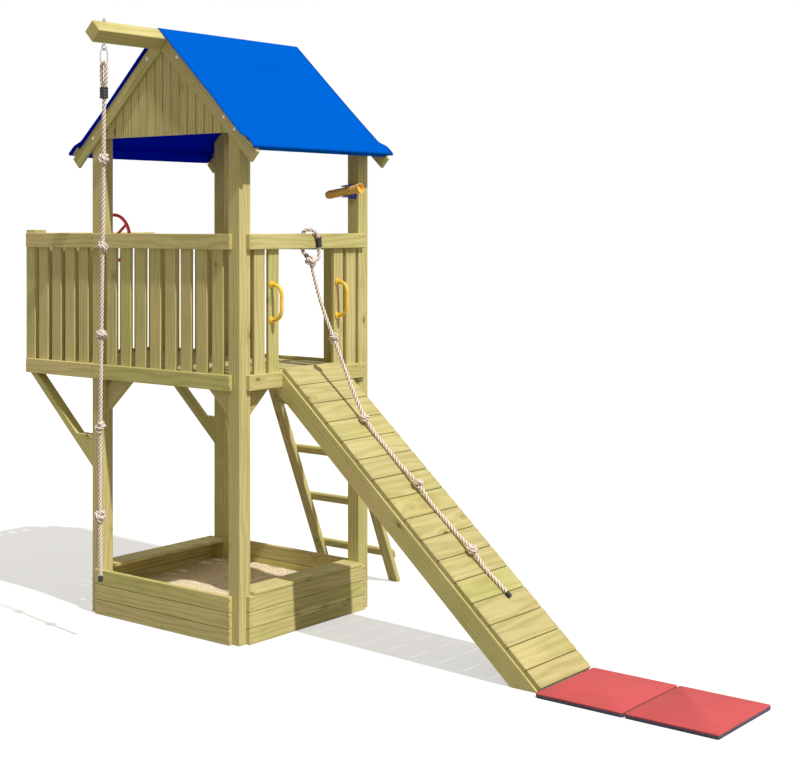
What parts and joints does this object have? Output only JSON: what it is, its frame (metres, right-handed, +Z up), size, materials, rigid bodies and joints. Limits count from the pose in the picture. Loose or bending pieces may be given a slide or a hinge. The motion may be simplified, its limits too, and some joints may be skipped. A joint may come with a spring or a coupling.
{
  "type": "play tower",
  "caption": "Wooden play tower with roofed platform and balcony, cleated rope ramp, ladder, sandbox, hanging knotted rope, toy wheel and telescope, and safety mats",
  "frame": {"origin": "centre of the foot of the front right post, on the ground", "axes": "+X along the ramp, away from the tower; +Y from the rope beam's gable to the ladder side; +Z up"},
  "size_m": [4.789, 2.3427, 3.57],
  "materials": {
    "blue_tarp": "blue coated tarpaulin",
    "cream_rope": "cream stranded polypropylene rope",
    "dark_blue_plastic": "dark blue plastic",
    "galvanised_steel": "galvanised steel",
    "orange_plastic": "glossy orange plastic",
    "play_sand": "loose play sand",
    "pressure_treated_pine": "pressure-treated pine, planed, light green-yellow",
    "red_plastic": "glossy red plastic",
    "red_rubber": "matt red rubber granulate",
    "yellow_plastic": "glossy yellow plastic"
  },
  "bodies": {
    "frame": {"balcony_brace_front": "pressure_treated_pine", "balcony_brace_rear": "pressure_treated_pine", "balcony_post_front": "pressure_treated_pine", "balcony_post_rear": "pressure_treated_pine", "corner_brace_front_left": "pressure_treated_pine", "corner_brace_front_right": "pressure_treated_pine", "corner_brace_ramp_side": "pressure_treated_pine", "eave_batten_left": "pressure_treated_pine", "eave_batten_right": "pressure_treated_pine", "eye_bolt": "galvanised_steel", "floor_deck": "pressure_treated_pine", "gable_front": "pressure_treated_pine", "gable_rear": "pressure_treated_pine", "handle_far": "yellow_plastic", "handle_near": "yellow_plastic", "ladder_rail_left": "pressure_treated_pine", "ladder_rail_right": "pressure_treated_pine", "ladder_rung_1": "pressure_treated_pine", "ladder_rung_2": "pressure_treated_pine", "ladder_rung_3": "pressure_treated_pine", "ladder_rung_4": "pressure_treated_pine", "low_rail_balcony_front": "pressure_treated_pine", "low_rail_front": "pressure_treated_pine", "mat_1": "red_rubber", "mat_2": "red_rubber", "post_front_left": "pressure_treated_pine", "post_front_right": "pressure_treated_pine", "post_rear_left": "pressure_treated_pine", "post_rear_right": "pressure_treated_pine", "rafter_front_left": "pressure_treated_pine", "rafter_front_right": "pressure_treated_pine", "rafter_rear_left": "pressure_treated_pine", "rafter_rear_right": "pressure_treated_pine", "railing_balcony_end": "pressure_treated_pine", "railing_balcony_front": "pressure_treated_pine", "railing_balcony_rear": "pressure_treated_pine", "railing_front": "pressure_treated_pine", "railing_ladder_side": "pressure_treated_pine", "railing_ramp_side": "pressure_treated_pine", "ramp_deck": "pressure_treated_pine", "ramp_rope": "cream_rope", "ramp_stringer_far": "pressure_treated_pine", "ramp_stringer_near": "pressure_treated_pine", "ridge_beam": "pressure_treated_pine", "roof_tarp": "blue_tarp", "sand_fill": "play_sand", "sandbox_balcony_side": "pressure_treated_pine", "sandbox_front": "pressure_treated_pine", "sandbox_ramp_side": "pressure_treated_pine", "sandbox_rear": "pressure_treated_pine", "seat_balcony_side": "pressure_treated_pine", "seat_ramp_side": "pressure_treated_pine", "telescope_bracket": "dark_blue_plastic", "wheel_axle": "galvanised_steel"},
    "wheel": {"steering_wheel": "red_plastic"},
    "yoke": {"telescope_yoke": "dark_blue_plastic"},
    "scope": {"telescope_tube": "orange_plastic"},
    "hook": {"snap_hook": "galvanised_steel"},
    "gate": {"hook_gate": "galvanised_steel"},
    "rope": {"climbing_rope": "cream_rope"}
  },
  "joints": [
    {"name": "wheel_turn", "type": "hinge", "parent": "frame", "child": "wheel", "pos_m": [-1.18, 0.091, 2.309], "axis": [0, 1, 0], "continuous": true},
    {"name": "telescope_tilt", "type": "hinge", "parent": "frame", "child": "yoke", "pos_m": [0, 0.9392, 2.6], "axis": [0, 1, 0], "range_deg": [-20, 20]},
    {"name": "telescope_turn", "type": "hinge", "parent": "yoke", "child": "scope", "pos_m": [0, 0.9392, 2.6], "axis": [-0.1478, 0, 0.989], "range_deg": [-25, 25]},
    {"name": "hook_swing", "type": "hinge", "parent": "frame", "child": "hook", "pos_m": [-0.59, -0.495, 3.39672], "axis": [0, 1, 0], "range_deg": [-45, 45]},
    {"name": "hook_gate_hinge", "type": "hinge", "parent": "hook", "child": "gate", "pos_m": [-0.59, -0.521, 3.34007], "axis": [-1, 0, 0], "range_deg": [0, 30], "stiffness_Nm_per_rad": 0.05, "springref_deg": -17.19},
    {"name": "rope_swing", "type": "hinge", "parent": "hook", "child": "rope", "pos_m": [-0.59, -0.495, 3.31952], "axis": [1, 0, 0], "range_deg": [-40, 8]}
  ]
}
